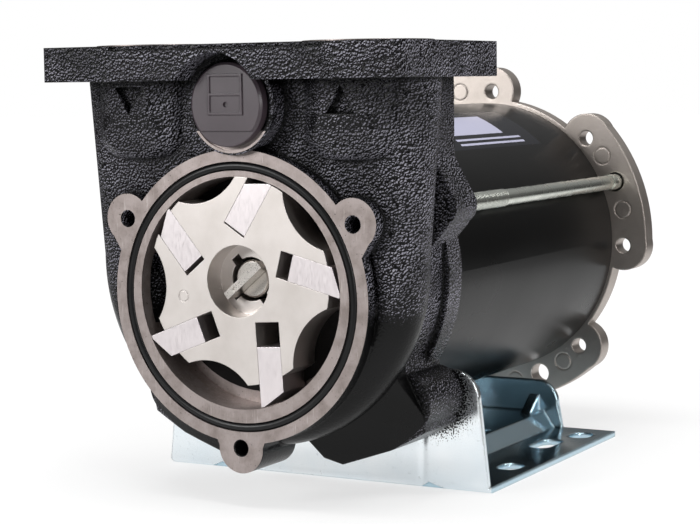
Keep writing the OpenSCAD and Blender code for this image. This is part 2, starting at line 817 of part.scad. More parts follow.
module body_screw_holes() {
  for (a = cover_angles)
    translate([cover_pcr * cos(a), 0, cover_pcr * sin(a)]) {
      bar(cover_tap_r, -eps, cover_tap_d);
      translate([0, -eps, 0])
        rotate([-90, 0, 0])
          cylinder(r1 = cover_tap_r * chamfer_share + eps, r2 = cover_tap_r,
                   h = cover_tap_r * (chamfer_share - 1) + eps);
    }
  for (s = sides) {
    for (y = [-1, 1])
      translate([s * top_hole_x, top_mid_y + y * top_hole_y, top_z - top_t - eps])
        cylinder(r = top_hole_r, h = top_t + 2 * eps);
    translate([s * foot_boss_x, 0, -foot_boss_drop])
      bar(foot_tap_r, seat_back - foot_tap_d, seat_back + eps);
  }
  on_shaft()
    for (a = [rod_angle, rod_angle + 180])
      at_angle(a)
        translate([rod_pcr, 0, 0])
          bar(rod_r + run_gap, seat_back - ear_step - rod_tap_d, seat_back + eps);
}

// The arch over the cap in the front of the top flange.
module cap_arch() {
  translate([0, 0, valve_z])
    bar(notch_r, -top_front - eps, -cap_seat - run_gap);
}

// Cast iron body: cover face, rotor housing, ports, valve housing, legs and motor seat.
module pump_body() {
  color("#1b1b1c")
    difference() {
      union() {
        rim_top();
        rim_ring();
        neck();
        top_flange();
        for (s = sides) {
          port_boss(s);
          translate([s * port_x, port_y, top_z - eps])
            cylinder(r = port_face_r, h = port_face_t + eps);
        }
        ring_face();
        valve_boss();
        legs();
        rod_ears();
        on_shaft()
          turned()
            translate([tube_in_r - tube_t, seat_back - eps])
              square([tube_t - run_gap, spigot_l + eps]);
      }
      cap_arch();
      for (s = sides)
        flow_mark(s);
      body_hollows();
      galleries();
      valve_bore();
      body_screw_holes();
      translate([-step_w, -top_front - eps, top_z - step_h])
        cube([2 * step_w, step_h + eps, step_h + eps]);
    }
}

module cover_o_ring() {
  color("#0e0e0f")
    turned()
      translate([(groove_in_r + groove_out_r) / 2, groove_d - run_gap - cord_r])
        circle(cord_r);
}

// Loose steel disc at the back of the chamber that the vanes bear on.
module side_disc() {
  color("#a9a7a3")
    translate([disc_x, 0, bore_rise + disc_z])
      difference() {
        bar(disc_r, disc_front, disc_front + disc_t);
        bar(disc_hole_r, disc_front - eps, disc_front + disc_t + eps);
      }
}

module rotor_outline() {
  difference() {
    circle(rotor_r);
    for (k = [0:vanes - 1])
      rotate(slot_angle + slot_step * k) {
        translate([slot_floor, slot_offset - slot_w / 2])
          square([rotor_r, slot_w]);
        rotate(-scallop_turn)
          translate([scallop_depth_r + scallop_r, 0])
            circle(scallop_r);
      }
  }
}

module rotor() {
  color("#cfccc8")
    on_shaft()
      difference() {
        slab(run_gap, rotor_back) rotor_outline();
        bar(hub_r, 0, hub_floor);
        bar(rotor_bore_r, 0, chamber_d);
        for (a = [key_angle, key_angle + 90])
          at_angle(a)
            slab(0, chamber_d)
              square([2 * keyway_r, keyway_w], center = true);
        translate([-mark_x, 0, -mark_z])
          turned()
            translate([mark_r * edge_share, 0])
              square([mark_r * tail_share, run_gap * 4]);
      }
}

// How far a vane tip stands from the shaft axis when its slot points at an angle.
function vane_tip(a) = contact_l - swing_d * sin(a + swing_angle) - tip_gap;

// One vane: a slab with a bevelled tip whose front corner follows the bore.
module vane(k) {
  a = slot_angle + slot_step * k;
  tip = vane_tip(a);
  n_in = slot_offset - slot_w / 2 + run_gap;
  n_out = slot_offset + slot_w / 2 - run_gap;
  color("#e3e1e6")
    on_shaft()
      slab(2 * run_gap, rotor_back)
        rotate(a)
          polygon([[tip - vane_l, n_in], [tip, n_in], [tip, n_in + vane_land],
                   [tip - vane_bevel, n_out], [tip - vane_l, n_out]]);
}

module vane_1() { vane(0); }
module vane_2() { vane(1); }
module vane_3() { vane(2); }
module vane_4() { vane(3); }
module vane_5() { vane(4); }

// Flat bar across the shaft's slot that drives the rotor through its keyways.
module drive_key() {
  color("#d9d7d3")
    on_shaft()
      at_angle(key_angle)
        difference() {
          translate([-key_l / 2, key_front, -key_t / 2])
            cube([key_l, key_back - key_front, key_t]);
          translate([-key_l * punch_share, key_front - eps, 0])
            rotate([-90, 0, 0])
              cylinder(r1 = key_t * punch_share + eps, r2 = key_t * punch_share / 2, h = key_t / 4);
        }
}

module motor_shaft() {
  color("#c9c7c2")
    on_shaft()
      difference() {
        union() {
          bar(journal_r, shaft_front + shaft_chamfer, shaft_back);
          translate([0, shaft_front, 0])
            rotate([-90, 0, 0])
              cylinder(r1 = shaft_r - shaft_chamfer, r2 = shaft_r, h = shaft_chamfer);
          bar(body_shaft_r, cavity_front, tube_back);
        }
        at_angle(key_angle)
          translate([-shaft_r - eps, 0, -key_t / 2 - run_gap])
            cube([2 * (shaft_r + eps), key_back + run_gap, key_t + 2 * run_gap]);
      }
}

// Lip seal: a cased rubber ring with a sprung lip on the shaft.
module shaft_seal() {
  color("#141415")
    on_shaft()
      turned()
        polygon([[seal_r, seal_front + run_gap], [seal_r, seal_back - run_gap],
                 [seal_r - lip_t, seal_back - run_gap], [seal_r - lip_t, seal_front + lip_t],
                 [shaft_r + lip_t, seal_front + lip_t], [shaft_r + lip_t, seal_back - 2 * lip_t],
                 [shaft_r + run_gap, seal_back - 2 * lip_t], [shaft_r + run_gap, seal_front + run_gap]]);
}

// Shielded ball bearing, drawn as its rings and shields in one turned shape.
module ball_bearing(front) {
  race = (bearing_r - shaft_r) / 4;
  color("#b9b7b2")
    on_shaft()
      translate([0, front, 0])
        turned()
          difference() {
            translate([shaft_r + run_gap, run_gap])
              square([bearing_r - shaft_r - run_gap, bearing_w - 2 * run_gap]);
            for (h = [run_gap - eps, bearing_w - run_gap - shield_dip + eps])
              translate([shaft_r + race, h])
                square([bearing_r - shaft_r - 2 * race, shield_dip]);
          }
}

module front_bearing() { ball_bearing(bearing_front); }
module rear_bearing() { ball_bearing(rear_bearing_front); }

// Screwed plug of the bypass valve with a plain raised panel on its face.
module bypass_cap() {
  color("#4b4548")
    translate([0, 0, valve_z])
      difference() {
        union() {
          turned()
            polygon([[0, -cap_front], [cap_r - cap_chamfer, -cap_front],
                     [cap_r, -cap_front + cap_chamfer], [cap_r, -cap_seat + spot_d - run_gap],
                     [0, -cap_seat + spot_d - run_gap]]);
          difference() {
            bar(valve_r - run_gap, -cap_front + cap_chamfer, plug_back);
            turned()
              translate([valve_r - run_gap - 2 * cap_cord_r, plug_back / 2])
                square([3 * cap_cord_r, 2 * cap_cord_r + 2 * run_gap]);
          }
          slab(-cap_front - panel_h, -cap_front + cap_chamfer)
            translate([-panel_w / 2, -panel_w / 4])
              difference() {
                square([panel_w, panel_w]);
                translate([panel_rim, panel_rim])
                  square([panel_w - 2 * panel_rim, panel_w / 2 - 3 * panel_rim / 2]);
                translate([panel_rim, panel_w / 2 + panel_rim / 2])
                  square([panel_w - 2 * panel_rim, panel_w / 2 - 3 * panel_rim / 2]);
              }
        }
        slab(-cap_front - eps, -cap_front + panel_dip)
          translate([-cap_r, -cap_r])
            square([2 * cap_r, cap_r - cap_chord]);
        bar(cap_bore_r, cap_bore_y, plug_back + eps);
        bar(panel_rim, -cap_front - eps, -cap_front + panel_dip);
      }
}

module cap_o_ring() {
  color("#101011")
    translate([0, 0, valve_z])
      turned()
        translate([valve_r - run_gap / 2 - cap_cord_r, plug_back / 2 + cap_cord_r + run_gap])
          circle(cap_cord_r);
}

// Coil spring of the valve, drawn as a stack of rings joined by two stays.
module bypass_spring() {
  gap = (poppet_front - cap_bore_y) / spring_turns;
  color("#bdbbb6")
    translate([0, 0, valve_z]) {
      for (i = [0:spring_turns - 1])
        translate([0, cap_bore_y + gap * (i + 1 / 2), 0])
          turned()
            translate([valve_coil_r, 0])
              circle(valve_wire_r);
      for (s = sides)
        translate([s * valve_coil_r, 0, 0])
          bar(valve_wire_r / 2, cap_bore_y + gap / 2, poppet_front - gap / 2);
    }
}

module bypass_poppet() {
  color("#b98d45")
    translate([0, 0, valve_z]) {
      bar(poppet_r, poppet_front, valve_seat_y - run_gap);
      bar(stem_r, poppet_front - stem_l, poppet_front + eps);
      turned()
        polygon([[0, valve_seat_y - run_gap - eps], [seat_r - 2 * run_gap, valve_seat_y - run_gap - eps],
                 [seat_r - 2 * run_gap, valve_seat_y], [seat_r / 2, valve_seat_y + seat_r / 3],
                 [0, valve_seat_y + seat_r / 3]]);
    }
}

module motor_tube() {
  color("#101112")
    on_shaft()
      difference() {
        bar(tube_r, seat_back + run_gap, tube_back - run_gap);
        bar(tube_in_r, seat_back, tube_back);
      }
}

// Two curved magnets fixed to the inside of the tube.
module field_magnets() {
  color("#2f3134")
    on_shaft()
      for (a = [0, 180])
        at_angle(a)
          slab(magnet_front, magnet_front + magnet_l)
            sector(tube_in_r - run_gap - magnet_t, tube_in_r - run_gap,
                   -magnet_half, magnet_half);
}

module arm_slot_bars(w, r0, r1, front, back) {
  for (i = [0:arm_slots - 1])
    at_angle(i * 360 / arm_slots)
      translate([r0, front, -w / 2])
        cube([r1 - r0, back - front, w]);
}

module armature_core() {
  color("#8f8d89")
    on_shaft()
      difference() {
        bar(arm_r, arm_front, arm_back);
        bar(body_shaft_r + run_gap, arm_front - eps, arm_back + eps);
        arm_slot_bars(arm_slot_w, arm_r - arm_slot_d, arm_r + eps,
                      arm_front - eps, arm_back + eps);
      }
}

// Copper coils: a bundle in every slot, joined by the end turns on both sides.
module armature_windings() {
  out_r = arm_r - arm_slot_d / 6;
  color("#b4632c")
    on_shaft()
      union() {
        arm_slot_bars(arm_slot_w - 2 * run_gap, arm_r - arm_slot_d + run_gap, out_r,
                      arm_front - coil_l / 2, arm_back + coil_l / 2);
        for (front = [arm_front - run_gap - coil_l, arm_back + run_gap])
          turned()
            polygon([[coil_in_r, front + coil_bevel], [coil_in_r + coil_bevel, front],
                     [out_r - 2 * coil_bevel, front], [out_r - coil_bevel, front + coil_bevel],
                     [out_r - coil_bevel, front + coil_l - coil_bevel],
                     [out_r - 2 * coil_bevel, front + coil_l],
                     [coil_in_r + coil_bevel, front + coil_l],
                     [coil_in_r, front + coil_l - coil_bevel]]);
      }
}

module commutator() {
  color("#b87333")
    on_shaft()
      difference() {
        union() {
          bar(comm_r, comm_front, comm_back);
          bar(comm_r + brush_box_t * 2, comm_front, comm_front + brush_box_t);
        }
        bar(body_shaft_r + run_gap, comm_front - eps, comm_back + eps);
        arm_like_cuts();
      }
}

module arm_like_cuts() {
  for (i = [0:comm_bars - 1])
    at_angle(i * 360 / comm_bars)
      translate([comm_r - brush_box_t / 2, comm_front - eps, -comm_cut / 2])
        cube([brush_box_t * 4, comm_l + 2 * eps, comm_cut]);
}

// Insulating ring in the end shield that carries the two brush boxes.
module brush_holder() {
  box_w = brush_w + 2 * brush_box_t + 2 * run_gap;
  box_t = brush_t + 2 * brush_box_t + 2 * run_gap;
  color("#4a3326")
    on_shaft()
      difference() {
        union() {
          bar(holder_r, holder_front, holder_front + shield_t / 3);
          for (s = sides) {
            translate([s > 0 ? box_in_r : -box_out_r, comm_mid - box_w / 2, -box_t / 2])
              cube([box_out_r - box_in_r, box_w, box_t]);
            translate([s > 0 ? box_in_r + brush_t : -box_out_r, comm_mid, -box_t / 2])
              cube([box_out_r - box_in_r - brush_t, holder_front - comm_mid + eps, box_t]);
          }
        }
        bar(comm_r + brush_box_t * 2, comm_front, tube_back);
        for (s = sides)
          translate([s > 0 ? 0 : -box_out_r - eps, comm_mid - brush_w / 2 - run_gap,
                     -brush_t / 2 - run_gap])
            cube([box_out_r + eps, brush_w + 2 * run_gap, brush_t + 2 * run_gap]);
      }
}

module brush(s) {
  color("#26262a")
    on_shaft()
      difference() {
        translate([s > 0 ? 0 : -comm_r - run_gap - brush_l, comm_mid - brush_w / 2, -brush_t / 2])
          cube([comm_r + run_gap + brush_l, brush_w, brush_t]);
        bar(comm_r + run_gap, comm_front, comm_back);
      }
}

module brush_left() { brush(-1); }
module brush_right() { brush(1); }

// Spring that presses a brush inwards, drawn as a stack of rings with two stays.
module brush_spring(s) {
  from = comm_r + 2 * run_gap + brush_l;
  gap = (box_out_r - from) / brush_turns;
  color("#c4c2bd")
    on_shaft()
      translate([0, comm_mid, 0])
        rotate([0, s * 90, 0]) {
          for (i = [0:brush_turns - 1])
            translate([0, 0, from + gap * (i + 1 / 2)])
              rotate_extrude()
                translate([brush_t / 4, 0])
                  circle(brush_wire_r);
          for (x = sides)
            translate([x * brush_t / 4, 0, from + gap / 2])
              cylinder(r = brush_wire_r / 2, h = box_out_r - gap - from);
        }
}

module brush_spring_left() { brush_spring(-1); }
module brush_spring_right() { brush_spring(1); }

// Outline of the end shield with four ears, each with a small hole at either end.
module shield_outline() {
  union() {
    circle(shield_r);
    for (q = quarters)
      rotate(rod_angle - ear_turn + q) {
        sector(barrel_in_r, ear_r, -ear_half, ear_half);
        for (a = [-small_step / 2, small_step / 2])
          rotate(a)
            translate([small_pcr, 0])
              circle(ear_r - small_pcr + run_gap * 6);
      }
  }
}

// Aluminium plate that closes the motor and takes the tie rods.
module end_shield() {
  color("#b7b2ab")
    on_shaft()
      difference() {
        union() {
          slab(tube_back, shield_back) shield_outline();
          turned()
            translate([tube_in_r - tube_t, tube_back - spigot_l])
              square([tube_t - run_gap, spigot_l + eps]);
          bar(bearing_r + cup_t, shield_back - eps, cup_back);
          for (q = quarters)
            at_angle(q)
              translate([bearing_r, shield_back - eps, -rib_t / 2])
                cube([barrel_in_r - bearing_r, rib_h, rib_t]);
        }
        bar(bearing_r + run_gap, tube_back - eps, rear_bearing_back);
        for (i = [0:small_holes - 1])
          at_angle(rod_angle - ear_turn + small_step * (i + 1 / 2))
            translate([small_pcr, 0, 0])
              bar(small_hole_r, tube_back - eps, shield_back + eps);
        for (q = quarters)
          at_angle(rod_angle + q) {
            translate([rod_pcr, 0, 0])
              bar(rod_hole_r, tube_back - eps, shield_back + eps);
            for (a = [-pin_turn, pin_turn])
              at_angle(a)
                translate([rod_pcr, 0, 0])
                  turned()
                    translate([pin_r - pin_t, tube_back - eps])
                      square([pin_t, pin_t + eps]);
          }
        at_angle(gland_angle)
          translate([gland_pcr, 0, 0])
            bar(gland_r, tube_back - eps, shield_back + eps);
      }
}

// Long rods with a threaded end in the body and one through the end shield.
module tie_rods() {
  color("#cdd0d2")
    on_shaft()
      for (a = [rod_angle, rod_angle + 180])
        at_angle(a)
          translate([rod_pcr, 0, 0]) {
            bar(rod_r, seat_back - ear_step - rod_tap_d + rod_r, rod_thread_y);
            bar(rod_shank_r, rod_thread_y - eps, shield_back - shield_t * 2);
            bar(rod_r, shield_back - shield_t * 2 - eps, shield_back + nut_t * 2);
          }
}

module tie_rod_nuts() {
  color("#c6c9cb")
    on_shaft()
      for (a = [rod_angle, rod_angle + 180])
        at_angle(a)
          translate([rod_pcr, 0, 0])
            difference() {
              union() {
                bar(nut_r * washer_share, shield_back + run_gap, shield_back + washer_t + eps);
                translate([0, shield_back + washer_t, 0])
                  rotate([-90, 0, 0])
                    cylinder(r = nut_r, h = nut_t, $fn = 6);
              }
              bar(rod_r + run_gap, shield_back - eps, shield_back + nut_t * 2);
            }
}

// Screw through the lowest small hole, with its head at the back.
module shield_screw() {
  color("#d3d6d8")
    on_shaft()
      at_angle(rod_angle - ear_turn - small_step / 2 - quarters[1])
        translate([small_pcr, 0, 0]) {
          bar(small_hole_r - 2 * run_gap, tube_back - screw_poke, shield_back + 2 * run_gap);
          bar(small_hole_r * head_share, shield_back + run_gap, shield_back + small_hole_r * 3 / 2);
        }
}

// Rubber-lined gland for the supply cord; the cord itself is left out.
module cable_gland() {
  color("#1a1a1b")
    on_shaft()
      at_angle(gland_angle)
        translate([gland_pcr, 0, 0])
          difference() {
            union() {
              bar(gland_r - run_gap, tube_back + run_gap, shield_back + gland_l);
              bar(gland_r * head_share, shield_back + run_gap, shield_back + gland_r / 2);
              bar(gland_r * gland_share, shield_back + gland_r / 2 - eps, shield_back + gland_l);
            }
            bar(gland_r / 2, tube_back, shield_back + gland_l + eps);
          }
}

// Outline of the foot's upright walls: leaning sides, rounded upper corners and
// a cut-out for the round part above.
module upright(w, h, lean, corner, saddle_r) {
  shoulder = w - lean - corner;
  difference() {
    union() {
      polygon([[-w, -floor_drop], [w, -floor_drop], [w - lean, -floor_drop + h - corner],
               [-w + lean, -floor_drop + h - corner]]);
      translate([-shoulder, -floor_drop])
        square([2 * shoulder, h]);
      for (s = sides)
        translate([s * shoulder, -floor_drop + h - corner])
          circle(corner);
    }
    translate([0, shaft_z])
      circle(saddle_r);
  }
}

// Rounded slot along the depth.
module foot_slot(r, l) {
  translate([0, 0, -floor_drop - eps])
    linear_extrude(sheet_t + 2 * eps)
      union() {
        translate([0, -l / 2]) circle(r);
        translate([0, l / 2]) circle(r);
        square([2 * r, l], center = true);
      }
}

// Sheet foot: two flanges, a raised middle, an apron in front and a saddle behind.
module foot_bracket() {
  inner_w = rise_w + rise_run;
  relief_x = inner_w + sheet_t;
  color("#c3cdd4")
    difference() {
      union() {
        for (s = sides) {
          translate([s > 0 ? inner_w - run_gap : -foot_w, apron_y, -floor_drop])
            cube([foot_w - inner_w + run_gap, foot_back - apron_y, sheet_t]);
          translate([s * (rise_w - rise_run) - sheet_t, 0, 0])
            rotate([90, 0, 90])
              linear_extrude(2 * sheet_t)
                polygon([[foot_back - sheet_t / 2, rise_top - sheet_t / 2],
                         [foot_back - sheet_t / 2, -floor_drop + saddle_h * knee_share + rise_h / 2],
                         [foot_back - saddle_h * knee_share, rise_top - sheet_t / 2]]);
        }
        slab(apron_y, foot_back)
          polygon([[-inner_w, -floor_drop], [-inner_w, flange_top], [-rise_w, rise_top],
                   [rise_w, rise_top], [inner_w, flange_top], [inner_w, -floor_drop],
                   [inner_w - sheet_t, -floor_drop], [rise_w - sheet_t / 2, rise_top - sheet_t],
                   [-rise_w + sheet_t / 2, rise_top - sheet_t], [-inner_w + sheet_t, -floor_drop]]);
        slab(apron_y, apron_back)
          upright(foot_w, apron_h, apron_lean, apron_round, barrel_r + run_gap * 4);
        slab(foot_back - sheet_t, foot_back)
          upright(saddle_w, saddle_h, sheet_t, apron_round * flank_share, tube_r + saddle_gap);
      }
      for (s = sides) {
        translate([s * foot_slot_x, foot_slot_y, 0])
          foot_slot(foot_slot_r, foot_slot_l);
        for (e = sides)
          translate([s * foot_hole_x, foot_hole_y + e * foot_hole_half, 0])
            foot_slot(foot_slot_r, foot_hole_l);
        translate([s * rise_hole_x, rise_hole_y, -floor_drop - eps])
          cylinder(r = rise_hole_r, h = rise_h * 2);
        translate([s * foot_boss_x, 0, -foot_boss_drop])
          bar(foot_tap_r + 2 * run_gap, apron_y - eps, apron_back + eps);
        slab(apron_y - eps, apron_back + eps)
          polygon([[s * (relief_x - rise_run), -floor_drop - eps],
                   [s * relief_x, -floor_drop + sheet_t * chamfer_share],
                   [s * (relief_x + rise_run * 3 / 2), -floor_drop - eps]]);
        translate([0, 0, -floor_drop - eps])
          linear_extrude(apron_h * knee_share)
            polygon([[s * (inner_w - sheet_t), apron_y - eps], [s * inner_w, apron_y + sheet_t / 3],
                     [s * (inner_w + sheet_t), apron_y - eps]]);
      }
      translate([-foot_w - eps, apron_y, -floor_drop])
        rotate([90, 0, 90])
          linear_extrude(2 * (foot_w + eps))
            difference() {
              translate([-eps, -eps])
                square([bend_r + eps, bend_r + eps]);
              translate([bend_r, bend_r])
                circle(bend_r);
            }
    }
}

module foot_screws() {
  color("#c6c9cb")
    for (s = sides)
      translate([s * foot_boss_x, 0, -foot_boss_drop]) {
        bar(foot_tap_r - run_gap, seat_back - foot_tap_d + foot_tap_r, apron_back + 2 * run_gap);
        bar(foot_tap_r * 2, apron_back + run_gap, apron_back + washer_t);
        translate([0, apron_back + washer_t - eps, 0])
          rotate([-90, 0, 0])
            cylinder(r = foot_tap_r * head_share, h = foot_tap_r * 3 / 2, $fn = 6);
      }
}

pump_body();
cover_o_ring();
side_disc();
rotor();
vane_1();
vane_2();
vane_3();
vane_4();
vane_5();
drive_key();
motor_shaft();
shaft_seal();
front_bearing();
rear_bearing();
bypass_cap();
cap_o_ring();
bypass_spring();
bypass_poppet();
motor_tube();
field_magnets();
armature_core();
armature_windings();
commutator();
brush_holder();
brush_left();
brush_right();
brush_spring_left();
brush_spring_right();
end_shield();
tie_rods();
tie_rod_nuts();
shield_screw();
cable_gland();
foot_bracket();
foot_screws();
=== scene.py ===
import math

import bmesh
import bpy
from mathutils import Matrix, Vector


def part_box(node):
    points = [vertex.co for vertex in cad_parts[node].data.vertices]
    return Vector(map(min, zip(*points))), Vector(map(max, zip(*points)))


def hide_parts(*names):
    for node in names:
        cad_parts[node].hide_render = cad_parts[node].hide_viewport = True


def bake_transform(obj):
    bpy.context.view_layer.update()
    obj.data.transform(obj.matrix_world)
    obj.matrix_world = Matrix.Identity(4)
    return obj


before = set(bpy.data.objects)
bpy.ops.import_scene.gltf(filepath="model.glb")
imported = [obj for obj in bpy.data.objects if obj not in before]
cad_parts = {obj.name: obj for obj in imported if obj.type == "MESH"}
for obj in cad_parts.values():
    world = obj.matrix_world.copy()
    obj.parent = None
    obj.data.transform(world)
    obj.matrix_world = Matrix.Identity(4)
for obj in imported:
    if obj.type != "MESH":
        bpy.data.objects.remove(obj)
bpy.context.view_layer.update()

mm = 0.001
degree = math.pi / 180
noiseRange = (0.3, 0.7)  # where most of a soft noise lies
white = "#ffffff"


# An sRGB hex colour as the linear one that Blender works with.
def linear(hexColour):
    channels = [int(hexColour[i:i + 2], 16) / 255 for i in (1, 3, 5)]
    return [c / 12.92 if c <= 0.04045 else ((c + 0.055) / 1.055) ** 2.4 for c in channels] + [1.0]


# Inputs go by socket name or number in a dictionary, or in the sockets' order in a list. Each is a
# value or another node's output.
def setInputs(tree, node, inputs):
    for name, value in inputs.items() if isinstance(inputs, dict) else enumerate(inputs):
        socket = node.inputs[name]
        if isinstance(value, bpy.types.NodeSocket):
            tree.links.new(value, socket)
        else:
            socket.default_value = value


# Adds a node with its settings and links, and gives back one of its outputs.
def addNode(tree, kind, inputs=(), output=0, **settings):
    node = tree.nodes.new("ShaderNode" + kind)
    for name, value in settings.items():
        setattr(node, name, value)
    setInputs(tree, node, inputs)
    return node.outputs[output]


def newMaterial(name):
    material = bpy.data.materials.new(name)
    material.use_nodes = True
    tree = material.node_tree
    return material, tree, tree.nodes["Principled BSDF"], addNode(tree, "TexCoord", output="Object")


# Soft mottling, size in millimetres: where the noise goes from low to high, least turns to most.
def mottle(tree, coords, size, low, high, least=0.0, most=1.0, detail=3.0, rough=0.5):
    noise = addNode(tree, "TexNoise", {"Vector": coords, "Scale": 1 / (size * mm),
                                       "Detail": detail, "Roughness": rough})
    return addNode(tree, "MapRange", [noise, low, high, least, most])


# 1 where every value is between its two limits and 0 elsewhere; None leaves a side open.
def within(tree, ranges):
    mask = 1.0
    for value, limits, unit in ranges:
        for limit, operation in zip(limits, ("GREATER_THAN", "LESS_THAN")):
            if limit is not None:
                test = addNode(tree, "Math", [value, limit * unit], operation=operation)
                mask = addNode(tree, "Math", [mask, test], operation="MULTIPLY")
    return mask


# The distance in a plane from a centre that is given in millimetres.
def distanceFrom(tree, across, along, centre):
    squares = []
    for value, middle in zip((across, along), centre):
        offset = addNode(tree, "Math", [value, middle * mm], operation="SUBTRACT")
        squares.append(addNode(tree, "Math", [offset, offset], operation="MULTIPLY"))
    return addNode(tree, "Math", [addNode(tree, "Math", squares, operation="ADD")], operation="SQRT")


# The cast body, in millimetres: y runs back from the cover's face and z is the height. The paint
# gets smoother down a ramp of z, or evenly where there is none. A cutter left the machined places
# bare: ring, bore and valve are distances from the centres at these heights.
castBody = {
    "peel": 0.82, "peelBend": 0.8, "bendSize": 1.1, "peelDepth": 0.36, "grit": 0.4, "gritShare": 0.12,
    "softEdge": 1.0, "leastPeel": 0.12, "domeRange": (0.1, 0.75),
    # The glint colour is a painted highlight, laid on peel facets that lean towards a fixed direction
    # where no lamp stands.
    "paint": "#060606", "patch": "#0c0c0d", "paintedGlint": "#9d9ba7",
    "paintedGlintDirection": (-0.35, -0.45, 0.82), "paintedGlintRange": (0.13, 0.32),
    # Within this reach of a corner the painted highlight fades out: a painted shade.
    "cornerReach": 2.5, "openRange": (0.6, 0.93),
    "smoother": [
        {"ramp": (4.0, -8.0), "share": 1.0, "y": (None, 26.4), "z": (None, None)},
        {"ramp": (-8.0, -20.0), "share": 0.62, "y": (26.4, None), "z": (None, None)},
        {"ramp": None, "share": 0.6, "y": (None, 0.5), "z": (51.4, 56.0)},
    ],
    "centres": {"ring": 0.0, "bore": 1.2, "valve": 59.1},
    "machined": {
        "lug faces": {"y": (-0.02, 0.02), "z": (None, 34.0)},
        "cover ring": {"y": (-0.02, 0.02), "ring": (None, 46.0)},
        "seal groove": {"y": (-0.1, 2.5), "ring": (38.9, 41.9)},
        "pump bore": {"y": (-0.1, 14.1), "bore": (None, 36.05)},
        "cap seat": {"y": (-2.5, -1.0), "z": (None, 51.1), "valve": (None, 14.75)},
        "port faces": {"z": (77.5, None)},
    },
}


ironSkin = {
    "iron": "#9d9390", "stain": "#665b55", "speck": "#5a514b", "scratch": "#d6cfca", "pore": "#2f2a27",
    "streakWidth": 0.5, "scratchWidth": 0.7, "slant": 0.6, "relief": 0.03, "rough": (0.32, 0.55),
}


# Turned grey cast iron: a warm grey with stains, dark specks, long pale scratches and open pores.
# Tool marks are finer than a pixel, so the streaks are drawn 0.5 mm wide and the scratches 0.7 mm.
def bareIron(tree, coords):
    drawnOut = addNode(tree, "Mapping", {"Vector": coords, "Scale": (1.0, 1.0, 0.12)})
    slanted = addNode(tree, "Mapping", {"Vector": coords, "Rotation": (0.0, ironSkin["slant"], 0.0),
                                        "Scale": (1.0, 1.0, 0.06)})
    streaks = addNode(tree, "TexNoise", {"Vector": drawnOut, "Scale": 1 / (ironSkin["streakWidth"] * mm),
                                         "Detail": 4.0, "Roughness": 0.6})
    stains = mottle(tree, coords, size=7.0, low=0.42, high=0.68, most=0.55, detail=4.0, rough=0.6)
    specks = mottle(tree, coords, size=1.1, low=0.58, high=0.72, most=0.5, detail=5.0, rough=0.7)
    scratches = mottle(tree, slanted, size=ironSkin["scratchWidth"], low=0.6, high=0.7, most=0.55,
                       detail=5.0, rough=0.7)
    pores = mottle(tree, coords, size=0.9, low=0.66, high=0.72, most=0.7)
    colour = linear(ironSkin["iron"])
    for mask, shade in ((stains, "stain"), (specks, "speck"), (scratches, "scratch"), (pores, "pore")):
        colour = addNode(tree, "Mix", {0: mask, 6: colour, 7: linear(ironSkin[shade])}, 2,
                         data_type="RGBA")
    relief = addNode(tree, "Math", [streaks, pores], operation="SUBTRACT")
    return addNode(tree, "BsdfPrincipled", {
        "Base Color": colour, "Metallic": 0.85,
        "Roughness": addNode(tree, "MapRange", [streaks, *noiseRange, *ironSkin["rough"]]),
        "Normal": addNode(tree, "Bump", {"Strength": 0.6, "Distance": ironSkin["relief"] * mm,
                                         "Height": relief})})
